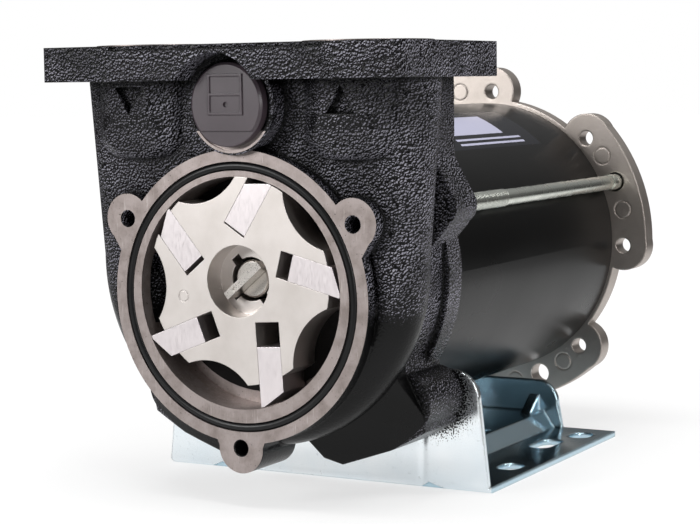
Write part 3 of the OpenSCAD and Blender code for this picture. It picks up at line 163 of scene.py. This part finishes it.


# Black texture paint on cast iron: near black, with the rounded grain of an orange's peel. Facets
# of the peel that face up and to the left are painted paler: a painted highlight, standing in for
# the glints of a small hard lamp.
def texturePaint():
    material, tree, shader, coords = newMaterial("textured_paint_with_painted_glints_on_cast_iron")
    x, y, z = addNode(tree, "SeparateXYZ", [coords]).node.outputs

    bend = castBody["peelBend"] * mm
    wobble = addNode(tree, "TexNoise", {"Vector": coords, "Scale": 1 / (castBody["bendSize"] * mm),
                                        "Detail": 2.0}, "Color")
    bent = addNode(tree, "VectorMath", [wobble, (bend, bend, bend)], operation="MULTIPLY")
    moved = addNode(tree, "VectorMath", [coords, bent], operation="ADD")
    cells = addNode(tree, "TexVoronoi", {"Vector": moved, "Scale": 1 / (castBody["peel"] * mm),
                                         "Smoothness": 0.2}, "Distance", feature="SMOOTH_F1")
    domes = addNode(tree, "MapRange", [cells, *castBody["domeRange"], 1.0, 0.0])
    grit = addNode(tree, "TexNoise", {"Vector": coords, "Scale": 1 / (castBody["grit"] * mm),
                                      "Detail": 2.0, "Roughness": 0.5})
    grit = addNode(tree, "Math", [grit, castBody["gritShare"]], operation="MULTIPLY")
    peel = addNode(tree, "Math", [domes, grit], operation="ADD")

    smooth = 0.0
    for place in castBody["smoother"]:
        share = place["share"]
        if place["ramp"]:
            top, bottom = place["ramp"]
            share = addNode(tree, "MapRange", [z, top * mm, bottom * mm, 0.0, share])
        mask = within(tree, [(y, place["y"], mm), (z, place["z"], mm)])
        here = addNode(tree, "Math", [mask, share], operation="MULTIPLY")
        smooth = addNode(tree, "Math", [smooth, here], operation="MAXIMUM")
    grain = addNode(tree, "MapRange", [smooth, 0.0, 1.0, 1.0, castBody["leastPeel"]])
    height = addNode(tree, "Math", [peel, grain], operation="MULTIPLY")
    soft = addNode(tree, "Bevel", {"Radius": castBody["softEdge"] * mm}, samples=6)
    normal = addNode(tree, "Bump", {"Strength": 1.0, "Distance": castBody["peelDepth"] * mm,
                                    "Height": height, "Normal": soft})

    # Painted highlight: facets that lean towards the fixed direction more than the surface under them get
    # the pale colour.
    facing = [addNode(tree, "VectorMath", [way, castBody["paintedGlintDirection"]], "Value", operation="DOT_PRODUCT")
              for way in (normal, soft)]
    lean = addNode(tree, "Math", facing, operation="SUBTRACT")
    paintedGlints = addNode(tree, "MapRange", [lean, *castBody["paintedGlintRange"], 0.0, 1.0])
    uneven = mottle(tree, coords, size=14.0, low=0.35, high=0.65, least=0.35)
    # Painted shade: in corners and creases the painted highlight fades out.
    openness = addNode(tree, "AmbientOcclusion", {"Distance": castBody["cornerReach"] * mm}, "AO",
                       samples=8)
    exposed = addNode(tree, "MapRange", [openness, *castBody["openRange"], 0.0, 1.0])
    for share in (uneven, exposed):
        paintedGlints = addNode(tree, "Math", [paintedGlints, share], operation="MULTIPLY")
    patches = mottle(tree, coords, size=24.0, low=0.35, high=0.7)
    # The paint colour below carries the painted highlight as well as the paint's own patches.
    paint = linear(castBody["paint"])
    for mask, shade in ((patches, "patch"), (paintedGlints, "paintedGlint")):
        paint = addNode(tree, "Mix", {0: mask, 6: paint, 7: linear(castBody[shade])}, 2,
                        data_type="RGBA")
    rough = mottle(tree, coords, size=9.0, low=0.3, high=0.7, least=0.2, most=0.3, detail=4.0)
    setInputs(tree, shader, {"Base Color": paint, "Roughness": rough, "Normal": normal,
                             "Specular IOR Level": 0.2})

    measures = {"y": y, "z": z}
    for name, centreHeight in castBody["centres"].items():
        measures[name] = distanceFrom(tree, x, z, (0.0, centreHeight))
    bare = 0.0
    for place in castBody["machined"].values():
        mask = within(tree, [(measures[name], limits, mm) for name, limits in place.items()])
        bare = addNode(tree, "Math", [bare, mask], operation="MAXIMUM")
    surface = addNode(tree, "MixShader", [bare, shader.outputs[0], bareIron(tree, coords)])
    tree.links.new(surface, tree.nodes["Material Output"].inputs["Surface"])
    return material


# The foot, in millimetres: its screw bosses, how far the body's paint reaches round them, and its
# apron. The drops of overspray are finer than a pixel, so they are drawn 0.55 mm wide.
footSheet = {
    "boss": (42.5, -34.5), "bossRadius": 9.5, "sprayReach": 18.0, "drop": 0.55,
    "apron": (None, 52.3), "inside": (51.8, None), "softEdge": 1.4, "waves": 20.0, "waveDepth": 0.5,
    # The inside colour is a painted shade, darker and bluer than the zinc.
    "zinc": "#f7fbfd", "dullZinc": "#dceaf2", "paintedInsideShade": "#9fcadd", "scuff": "#93a3ad",
    "spray": "#0d0d0e", "patch": 34.0, "rough": (0.14, 0.22),
}


# Blue-bright zinc on pressed sheet: a nearly white mirror with gentle waves, and black overspray
# round the screw bosses. The inside is painted darker and bluer: a painted shade, tinted blue for
# the bluish reflections there.
def platedSheet():
    material, tree, shader, coords = newMaterial("blue_bright_zinc_on_pressed_sheet")
    x, y, z = addNode(tree, "SeparateXYZ", [coords]).node.outputs
    patches = addNode(tree, "TexNoise", {"Vector": coords, "Scale": 1 / (footSheet["patch"] * mm),
                                         "Detail": 3.0, "Roughness": 0.5})
    duller = addNode(tree, "MapRange", [patches, 0.36, 0.68, 0.0, 0.7])
    # Painted shade: the inside of the sheet gets a darker, bluer copy of the zinc.
    inside = addNode(tree, "Math", [within(tree, [(y, footSheet["inside"], mm)]), 0.6],
                     operation="MULTIPLY")
    scuffs = mottle(tree, coords, size=1.6, low=0.62, high=0.74, most=0.3, detail=5.0, rough=0.65)

    eitherSide = addNode(tree, "Math", [x], operation="ABSOLUTE")
    fromBoss = distanceFrom(tree, eitherSide, z, footSheet["boss"])
    reach = addNode(tree, "MapRange", [fromBoss, footSheet["bossRadius"] * mm,
                                       footSheet["sprayReach"] * mm, 0.22, -0.16])
    drops = addNode(tree, "TexNoise", {"Vector": coords, "Scale": 1 / (footSheet["drop"] * mm),
                                       "Detail": 2.0, "Roughness": 0.5})
    drops = addNode(tree, "Math", [drops, reach], operation="ADD")
    drops = addNode(tree, "MapRange", [drops, 0.56, 0.62, 0.0, 1.0])
    spray = addNode(tree, "Math", [drops, within(tree, [(y, footSheet["apron"], mm)])],
                    operation="MULTIPLY")

    colour = linear(footSheet["zinc"])
    for mask, shade in ((duller, "dullZinc"), (inside, "paintedInsideShade"), (scuffs, "scuff"), (spray, "spray")):
        colour = addNode(tree, "Mix", {0: mask, 6: colour, 7: linear(footSheet[shade])}, 2,
                         data_type="RGBA")
    waves = addNode(tree, "TexNoise", {"Vector": coords, "Scale": 1 / (footSheet["waves"] * mm),
                                       "Detail": 2.0, "Roughness": 0.5})
    soft = addNode(tree, "Bevel", {"Radius": footSheet["softEdge"] * mm}, samples=6)
    setInputs(tree, shader, {
        "Base Color": colour,
        "Metallic": addNode(tree, "Math", [1.0, spray], operation="SUBTRACT"),
        "Roughness": addNode(tree, "MapRange", [patches, *noiseRange, *footSheet["rough"]]),
        "Normal": addNode(tree, "Bump", {"Strength": 0.25, "Distance": footSheet["waveDepth"] * mm,
                                         "Height": waves, "Normal": soft})})
    return material


# The motor tube's label: along the tube in millimetres, and round the shaft in degrees.
tubeLabel = {
    "shaftHeight": 4.95, "filmDepth": 0.08,
    "film": {"along": (58.0, 151.0), "round": (46.0, 71.0)},
    "panel": {"along": (64.0, 130.0), "round": (54.0, 67.0)},
    "lowBar": {"along": (88.0, 140.0), "round": (48.05, 49.15)},
    "highBar": {"along": (88.0, 140.0), "round": (50.65, 51.75)},
}
tubeColours = {"paint": "#040404", "dust": "#0f0f10", "film": "#15161c", "printed": "#b9b9cf"}


# Satin black paint on steel tube: deep black with a broad soft highlight and a little dust. The
# label's film is smoother and a shade bluer, with a plain pale panel and two plain bars.
def paintedTube():
    material, tree, shader, coords = newMaterial("satin_black_paint_on_steel_tube")
    x, y, z = addNode(tree, "SeparateXYZ", [coords]).node.outputs
    rise = addNode(tree, "Math", [z, tubeLabel["shaftHeight"] * mm], operation="SUBTRACT")
    turn = addNode(tree, "Math", [rise, x], operation="ARCTAN2")
    film, panel, lowBar, highBar = (
        within(tree, [(y, tubeLabel[name]["along"], mm), (turn, tubeLabel[name]["round"], degree)])
        for name in ("film", "panel", "lowBar", "highBar"))
    printed = panel
    for bar in (lowBar, highBar):
        printed = addNode(tree, "Math", [printed, bar], operation="MAXIMUM")

    paint = linear(tubeColours["paint"])
    dust = mottle(tree, coords, size=3.0, low=0.6, high=0.8, most=0.25, detail=5.0, rough=0.7)
    for mask, shade in ((dust, "dust"), (film, "film"), (printed, "printed")):
        paint = addNode(tree, "Mix", {0: mask, 6: paint, 7: linear(tubeColours[shade])}, 2,
                        data_type="RGBA")
    satin = mottle(tree, coords, size=45.0, low=0.3, high=0.7, least=0.26, most=0.34)
    gloss = addNode(tree, "MapRange", [film, 0.0, 1.0, 1.0, 0.8])
    grains = addNode(tree, "TexNoise", {"Vector": coords, "Scale": 1 / (0.6 * mm),
                                        "Detail": 3.0, "Roughness": 0.5})
    raised = addNode(tree, "Bump", {"Strength": 1.0, "Distance": tubeLabel["filmDepth"] * mm,
                                    "Height": film})
    setInputs(tree, shader, {
        "Base Color": paint, "Specular IOR Level": 0.2,
        "Roughness": addNode(tree, "Math", [satin, gloss], operation="MULTIPLY"),
        "Normal": addNode(tree, "Bump", {"Strength": 0.5, "Distance": 0.004 * mm,
                                         "Height": grains, "Normal": raised})})
    return material


# The tie rods, in millimetres: the smooth middle, and the thread that is rolled on both ends.
tieRod = {
    "smoothFront": 79.5, "smoothBack": 175.0, "pitch": 1.0, "threadDepth": 0.22,
    "zinc": "#e2e5dc", "dullZinc": "#bfc5bd", "patch": 9.0, "rough": (0.2, 0.34),
}


# Zinc on steel rod: a greenish silver with duller patches, smooth between the threads.
def threadedRod():
    material, tree, shader, coords = newMaterial("zinc_plated_threaded_rod")
    y = addNode(tree, "SeparateXYZ", [coords], "Y")
    front = within(tree, [(y, (None, tieRod["smoothFront"]), mm)])
    back = within(tree, [(y, (tieRod["smoothBack"], None), mm)])
    ends = addNode(tree, "Math", [front, back], operation="MAXIMUM")
    halfPitch = tieRod["pitch"] / 2 * mm
    ridges = addNode(tree, "Math", [y, halfPitch], operation="PINGPONG")
    ridges = addNode(tree, "Math", [ridges, halfPitch], operation="DIVIDE")
    thread = addNode(tree, "Math", [ridges, ends], operation="MULTIPLY")
    patches = addNode(tree, "TexNoise", {"Vector": coords, "Scale": 1 / (tieRod["patch"] * mm),
                                         "Detail": 3.0, "Roughness": 0.5})
    duller = addNode(tree, "MapRange", [patches, 0.4, 0.7, 0.0, 0.6])
    zinc, dullZinc = linear(tieRod["zinc"]), linear(tieRod["dullZinc"])
    setInputs(tree, shader, {
        "Base Color": addNode(tree, "Mix", {0: duller, 6: zinc, 7: dullZinc}, 2, data_type="RGBA"),
        "Metallic": 1.0,
        "Roughness": addNode(tree, "MapRange", [patches, *noiseRange, *tieRod["rough"]]),
        "Normal": addNode(tree, "Bump", {"Strength": 0.7, "Distance": tieRod["threadDepth"] * mm,
                                         "Height": thread})})
    return material


# A bare or plated metal, sizes in millimetres: grain is the width of its tool marks, stretch draws
# them out, and patch is the size of its duller patches. Real tool marks are finer than a pixel, so
# they are drawn 0.3 to 0.7 mm wide.
def metal(name, colour, worn, rough, grain=0.6, stretch=(1.0, 1.0, 1.0), edge=0.25, depth=0.01,
          patch=12.0, tone=0.45):
    material, tree, shader, coords = newMaterial(name)
    drawn = addNode(tree, "Mapping", {"Vector": coords, "Scale": stretch})
    lines = addNode(tree, "TexNoise", {"Vector": drawn, "Scale": 1 / (grain * mm),
                                       "Detail": 4.0, "Roughness": 0.6})
    patches = mottle(tree, coords, size=patch, low=0.38, high=0.7, most=tone, detail=4.0, rough=0.55)
    specks = mottle(tree, coords, size=grain * 1.7, low=0.6, high=0.75, most=tone * 0.6, detail=5.0,
                    rough=0.7)
    tint = linear(colour)
    for mask in (patches, specks):
        tint = addNode(tree, "Mix", {0: mask, 6: tint, 7: linear(worn)}, 2, data_type="RGBA")
    soft = addNode(tree, "Bevel", {"Radius": edge * mm}, samples=6)
    setInputs(tree, shader, {
        "Base Color": tint, "Metallic": 1.0,
        "Roughness": addNode(tree, "MapRange", [lines, *noiseRange, rough - 0.06, rough + 0.08]),
        "Normal": addNode(tree, "Bump", {"Strength": 0.5, "Distance": depth * mm, "Height": lines,
                                         "Normal": soft})})
    return material


# A moulded or pressed surface, sizes in millimetres: an even colour with a fine grain, paler or
# darker patches of wear, and a sheen that gloss sets.
def moulded(name, colour, worn, rough, grain=0.8, depth=0.02, edge=0.4, patch=15.0, tone=0.5, gloss=0.5):
    material, tree, shader, coords = newMaterial(name)
    grains, patches = (addNode(tree, "TexNoise", {"Vector": coords, "Scale": 1 / (size * mm),
                                                  "Detail": 4.0, "Roughness": 0.6})
                       for size in (grain, patch))
    wear = addNode(tree, "MapRange", [patches, 0.4, 0.7, 0.0, tone])
    soft = addNode(tree, "Bevel", {"Radius": edge * mm}, samples=6)
    setInputs(tree, shader, {
        "Base Color": addNode(tree, "Mix", {0: wear, 6: linear(colour), 7: linear(worn)}, 2,
                              data_type="RGBA"),
        "Roughness": addNode(tree, "MapRange", [patches, *noiseRange, rough - 0.05, rough + 0.07]),
        "Normal": addNode(tree, "Bump", {"Strength": 0.6, "Distance": depth * mm, "Height": grains,
                                         "Normal": soft}),
        "Specular IOR Level": gloss})
    return material


bodyPaint = texturePaint()
zincSheet = platedSheet()
tubePaint = paintedTube()
rodZinc = threadedRod()

# A matt warm grey, finely speckled.
rotorSteel = metal("sintered_and_ground_steel", "#cfc9c5", "#b4ada7", rough=0.42, grain=0.35, depth=0.008)
# Paler and brighter than the rotor, with fine upright lines.
vaneSteel = metal("ground_vane_steel", "#e0d9da", "#cbc3c4", rough=0.36, grain=0.3,
                  stretch=(1.0, 1.0, 0.15), edge=0.2, tone=0.3)
# Bright, with duller brownish patches.
shaftSteel = metal("turned_shaft_steel", "#d6d1cb", "#aaa49d", rough=0.3, grain=0.3, edge=0.2)
# A dull coat that is nearly black.
discSteel = metal("phosphated_steel_disc", "#1c1b1b", "#2b2928", rough=0.6, grain=0.5)
# Smooth, bright and neutral.
bearingSteel = metal("polished_bearing_steel", "#bdbbb7", "#8f8c88", rough=0.28)
# A plain grey, a little bright.
springSteel = metal("drawn_spring_wire", "#a5a39f", "#7c7a77", rough=0.35)
# A warm yellow with browner patches.
brass = metal("turned_brass", "#b58b43", "#8d6a31", rough=0.34)
# Dark grey, banded along the shaft by the edges of the sheets.
lamination = metal("stacked_laminations", "#6f6c69", "#4b4845", rough=0.5, grain=0.4,
                   stretch=(0.1, 1.0, 0.1))
# Red-brown and half matt under its enamel.
copper = metal("enamelled_copper_wire", "#a8572a", "#7c3c1a", rough=0.4)
# Bright copper with darker tracks round it.
commutatorCopper = metal("turned_copper", "#b9733c", "#7a4724", rough=0.32, grain=0.3,
                         stretch=(0.1, 1.0, 0.1))
# A pinkish grey casting skin: softly uneven, with rounded edges.
aluminium = metal("cast_aluminium", "#c0b7b0", "#9a918a", rough=0.42, grain=0.7, edge=0.9, depth=0.03,
                  patch=26.0, tone=0.5)
# A cool, bright plating.
zincScrew = metal("bright_zinc_plated_steel", "#c9cdd0", "#a4aaae", rough=0.26, grain=0.5)

# A purplish black with a low sheen, slightly rough from the glass in it.
capPlastic = moulded("glass_filled_black_plastic", "#43393f", "#352c32", rough=0.38, grain=0.5,
                     depth=0.03, edge=0.35)
# Deep black with a weak, narrow highlight.
rubber = moulded("moulded_nitrile_rubber", "#080809", "#101011", rough=0.34, grain=0.5, depth=0.01,
                 edge=0.3, gloss=0.28)
# Dark grey and matt, like stone.
ferrite = moulded("sintered_ferrite", "#2b2c2f", "#1d1e20", rough=0.6)
# A brown board with darker patches.
resin = moulded("pressed_phenolic_board", "#4a3020", "#382418", rough=0.55)
# A soft dark grey.
carbon = moulded("pressed_carbon", "#222225", "#161618", rough=0.5)
# Black with a waxy sheen.
nylon = moulded("moulded_nylon", "#141415", "#1d1d1f", rough=0.45)

finishes = {
    "pump_body": bodyPaint, "cover_o_ring": rubber, "side_disc": discSteel, "rotor": rotorSteel,
    "drive_key": shaftSteel, "motor_shaft": shaftSteel, "shaft_seal": rubber,
    "front_bearing": bearingSteel, "rear_bearing": bearingSteel, "bypass_cap": capPlastic,
    "cap_o_ring": rubber, "bypass_spring": springSteel, "bypass_poppet": brass, "motor_tube": tubePaint,
    "field_magnets": ferrite, "armature_core": lamination, "armature_windings": copper,
    "commutator": commutatorCopper, "brush_holder": resin, "brush_left": carbon, "brush_right": carbon,
    "brush_spring_left": springSteel, "brush_spring_right": springSteel, "end_shield": aluminium,
    "tie_rods": rodZinc, "tie_rod_nuts": zincScrew, "shield_screw": zincScrew, "cable_gland": nylon,
    "foot_bracket": zincSheet, "foot_screws": zincScrew,
}
for number in range(1, 6):
    finishes["vane_%d" % number] = vaneSteel
for name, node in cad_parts.items():
    node.data.materials.clear()
    node.data.materials.append(finishes[name])
print("materials on the CAD nodes")

# The coil springs: wire in millimetres; axis 0 is across the pump and 1 along it.
bypassSpring = {"pushed": "bypass_poppet", "body": "poppet", "axis": 1, "wire": 1.2, "turns": 5}
brushSpring = {"axis": 0, "wire": 0.5, "turns": 9}
wireSection = {"sides": 10, "radiusShare": 0.49, "stepsPerTurn": 28, "closedPitch": 1.05}


# A coil spring with closed ends in the CAD spring's box, which it stands in for.
def coilSpring(node, pushed, body, axis, wire, turns):
    wire *= mm
    low, high = (Vector(corner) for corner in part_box(node))
    middle = (low + high) / 2
    across = [index for index in range(3) if index != axis]
    radius = (min(high[index] - low[index] for index in across) - wire) / 2
    steps = wireSection["stepsPerTurn"]
    endPitch = wireSection["closedPitch"] * wire
    openPitch = (high[axis] - low[axis] - wire - 2 * endPitch) / (turns - 2)

    build = bmesh.new()
    section = Matrix.Translation((radius, 0.0, 0.0)) @ Matrix.Rotation(math.pi / 2, 4, "X")
    bmesh.ops.create_circle(build, segments=wireSection["sides"],
                            radius=wireSection["radiusShare"] * wire, matrix=section)
    last = build.verts[:] + build.edges[:]
    for count, pitch in ((1, endPitch), (turns - 2, openPitch), (1, endPitch)):
        wound = bmesh.ops.spin(build, geom=last, cent=(0.0, 0.0, 0.0), axis=(0.0, 0.0, 1.0),
                               dvec=(0.0, 0.0, pitch / steps), angle=2 * math.pi * count,
                               steps=steps * count, use_merge=False)
        last = wound["geom_last"]
    bmesh.ops.holes_fill(build, edges=[edge for edge in build.edges if edge.is_boundary], sides=0)
    bmesh.ops.recalc_face_normals(build, faces=build.faces)
    direction = Vector([float(index == axis) for index in range(3)])
    foot = middle.copy()
    foot[axis] = low[axis] + wire / 2
    turned = Vector((0.0, 0.0, 1.0)).rotation_difference(direction).to_matrix().to_4x4()
    bmesh.ops.transform(build, matrix=Matrix.Translation(foot) @ turned, verts=build.verts)
    for face in build.faces:
        face.smooth = True

    mesh = bpy.data.meshes.new(node + "_coil")
    build.to_mesh(mesh)
    build.free()
    mesh.materials.append(springSteel)
    piece = bpy.data.objects.new(node + "_coil", mesh)
    bpy.context.scene.collection.objects.link(piece)
    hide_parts(node)
    start, end = middle.copy(), middle.copy()
    start[axis], end[axis] = low[axis] + wire, high[axis] - wire
    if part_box(pushed)[0][axis] < low[axis]:
        start, end = end, start
    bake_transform(piece)


coilSpring("bypass_spring", **bypassSpring)
for brush in ("brush_left", "brush_right"):
    coilSpring(brush.replace("brush", "brush_spring"), brush, brush, **brushSpring)
print("coil springs")

# The camera, fitted to the photo: millimetres and degrees.
camera = {"place": (312.96, -491.03, 65.21), "azimuth": 29.11, "tilt": 5.38, "roll": -0.84,
          "focal": 97.96, "sensor": 36.0, "nearest": 10.0}
azimuth, tilt, roll = (camera[key] * degree for key in ("azimuth", "tilt", "roll"))
ahead = Vector((-math.sin(azimuth) * math.cos(tilt), math.cos(azimuth) * math.cos(tilt), -math.sin(tilt)))
level = Vector((math.cos(azimuth), math.sin(azimuth), 0.0))
upward = level.cross(ahead)
right = level * math.cos(roll) + upward * math.sin(roll)
up = upward * math.cos(roll) - level * math.sin(roll)
cameraData = bpy.data.cameras.new("camera")
cameraData.lens = camera["focal"]
cameraData.sensor_width = camera["sensor"]
cameraData.clip_start = camera["nearest"] * mm
cameraObject = bpy.data.objects.new("camera", cameraData)
bpy.context.scene.collection.objects.link(cameraObject)
turned = Matrix((right, up, -ahead)).transposed().to_4x4()
cameraObject.matrix_world = Matrix.Translation(Vector(camera["place"]) * mm) @ turned
bpy.context.scene.camera = cameraObject
print("camera")

# The floor, in millimetres: plain paper with the pump's shadow near it, which fades into a white
# glow farther out. The camera sees the glow at full strength. Every other ray sees nearly as much
# of it near the pump and little far away, so that the black paint mirrors less of it.
paperFloor = {
    "height": -65.8, "halfSize": 6000.0, "centre": (20.0, 90.0), "paper": "#f4f4f4",
    "fadeFrom": 130.0, "fadeTo": 340.0, "nearShare": 0.62, "cameraGlow": 1.05,
    "dimFrom": 300.0, "dimTo": 750.0, "nearGlow": 0.95, "farGlow": 0.03,
}
floorMesh = bpy.data.meshes.new("floor")
floorBuild = bmesh.new()
bmesh.ops.create_grid(floorBuild, x_segments=1, y_segments=1, size=paperFloor["halfSize"] * mm)
bmesh.ops.translate(floorBuild, verts=floorBuild.verts, vec=(0.0, 0.0, paperFloor["height"] * mm))
floorBuild.to_mesh(floorMesh)
floorBuild.free()
floorObject = bpy.data.objects.new("floor", floorMesh)
bpy.context.scene.collection.objects.link(floorObject)

# Uncoated paper: an even, matt white.
paper, floorTree, floorShader, floorCoords = newMaterial("white_paper_sweep")
floorX, floorY = addNode(floorTree, "SeparateXYZ", [floorCoords]).node.outputs[:2]
fromPump = distanceFrom(floorTree, floorX, floorY, paperFloor["centre"])
fade = addNode(floorTree, "MapRange", [fromPump, paperFloor["fadeFrom"] * mm, paperFloor["fadeTo"] * mm,
                                       paperFloor["nearShare"], 1.0])
dimmer = addNode(floorTree, "MapRange", [fromPump, paperFloor["dimFrom"] * mm, paperFloor["dimTo"] * mm,
                                         paperFloor["nearGlow"], paperFloor["farGlow"]])
cameraRay = addNode(floorTree, "LightPath", output="Is Camera Ray")
seenGlow = addNode(floorTree, "Math", [cameraRay, paperFloor["cameraGlow"]], operation="MULTIPLY")
strength = addNode(floorTree, "Math", [seenGlow, dimmer], operation="MAXIMUM")
glow = addNode(floorTree, "Emission", {"Color": linear(white), "Strength": strength})
setInputs(floorTree, floorShader, {
    "Base Color": linear(paperFloor["paper"]),
    "Roughness": mottle(floorTree, floorCoords, size=60.0, low=0.3, high=0.7, least=0.85, most=0.95)})
floorSurface = addNode(floorTree, "MixShader", [fade, floorShader.outputs[0], glow])
floorTree.links.new(floorSurface, floorTree.nodes["Material Output"].inputs["Surface"])
floorMesh.materials.append(paper)
print("floor")

# The surroundings: the camera sees plain white; the pump gets a dim dome, brighter overhead.
dome = {"lowAt": 0.1, "highAt": 0.8, "low": 0.07, "high": 0.5}
world = bpy.data.worlds.new("white_studio")
world.use_nodes = True
bpy.context.scene.world = world
sky = world.node_tree
seen = addNode(sky, "LightPath", output="Is Camera Ray")
upwards = addNode(sky, "SeparateXYZ", [addNode(sky, "TexCoord", output="Generated")], "Z")
domeLight = addNode(sky, "MapRange", [upwards, dome["lowAt"], dome["highAt"], dome["low"], dome["high"]])
unseen = addNode(sky, "Math", [1.0, seen], operation="SUBTRACT")
domeLight = addNode(sky, "Math", [domeLight, unseen], operation="MULTIPLY")
setInputs(sky, sky.nodes["Background"], {
    "Color": linear(white),
    "Strength": addNode(sky, "Math", [seen, domeLight], operation="ADD")})

# Soft boxes: place, target and size in metres, power in watts.
softBoxes = {
    "key": {"place": (-0.62, -0.95, 0.4), "target": (0.0, 0.0, 0.0), "size": (0.32, 0.5), "power": 8.5},
    "strip": {"place": (1.05, -0.62, 0.35), "target": (0.0, 0.0, 0.0), "size": (0.12, 0.7), "power": 5.0},
    "side": {"place": (0.95, 0.5, 1.0), "target": (0.0, 0.1, 0.0), "size": (0.3, 0.4), "power": 4.0},
    "top": {"place": (0.0, -0.1, 1.2), "target": (0.0, 0.05, 0.0), "size": (0.7, 0.5), "power": 9.0},
}
for name, box in softBoxes.items():
    lampData = bpy.data.lights.new(name, "AREA")
    lampData.shape = "RECTANGLE"
    lampData.size, lampData.size_y = box["size"]
    lampData.energy = box["power"]
    lamp = bpy.data.objects.new(name, lampData)
    bpy.context.scene.collection.objects.link(lamp)
    aim = (Vector(box["target"]) - Vector(box["place"])).to_track_quat("-Z", "Y")
    lamp.matrix_world = Matrix.Translation(box["place"]) @ aim.to_matrix().to_4x4()
print("surroundings and lamps")

bpy.context.scene.view_settings.view_transform = "Standard"
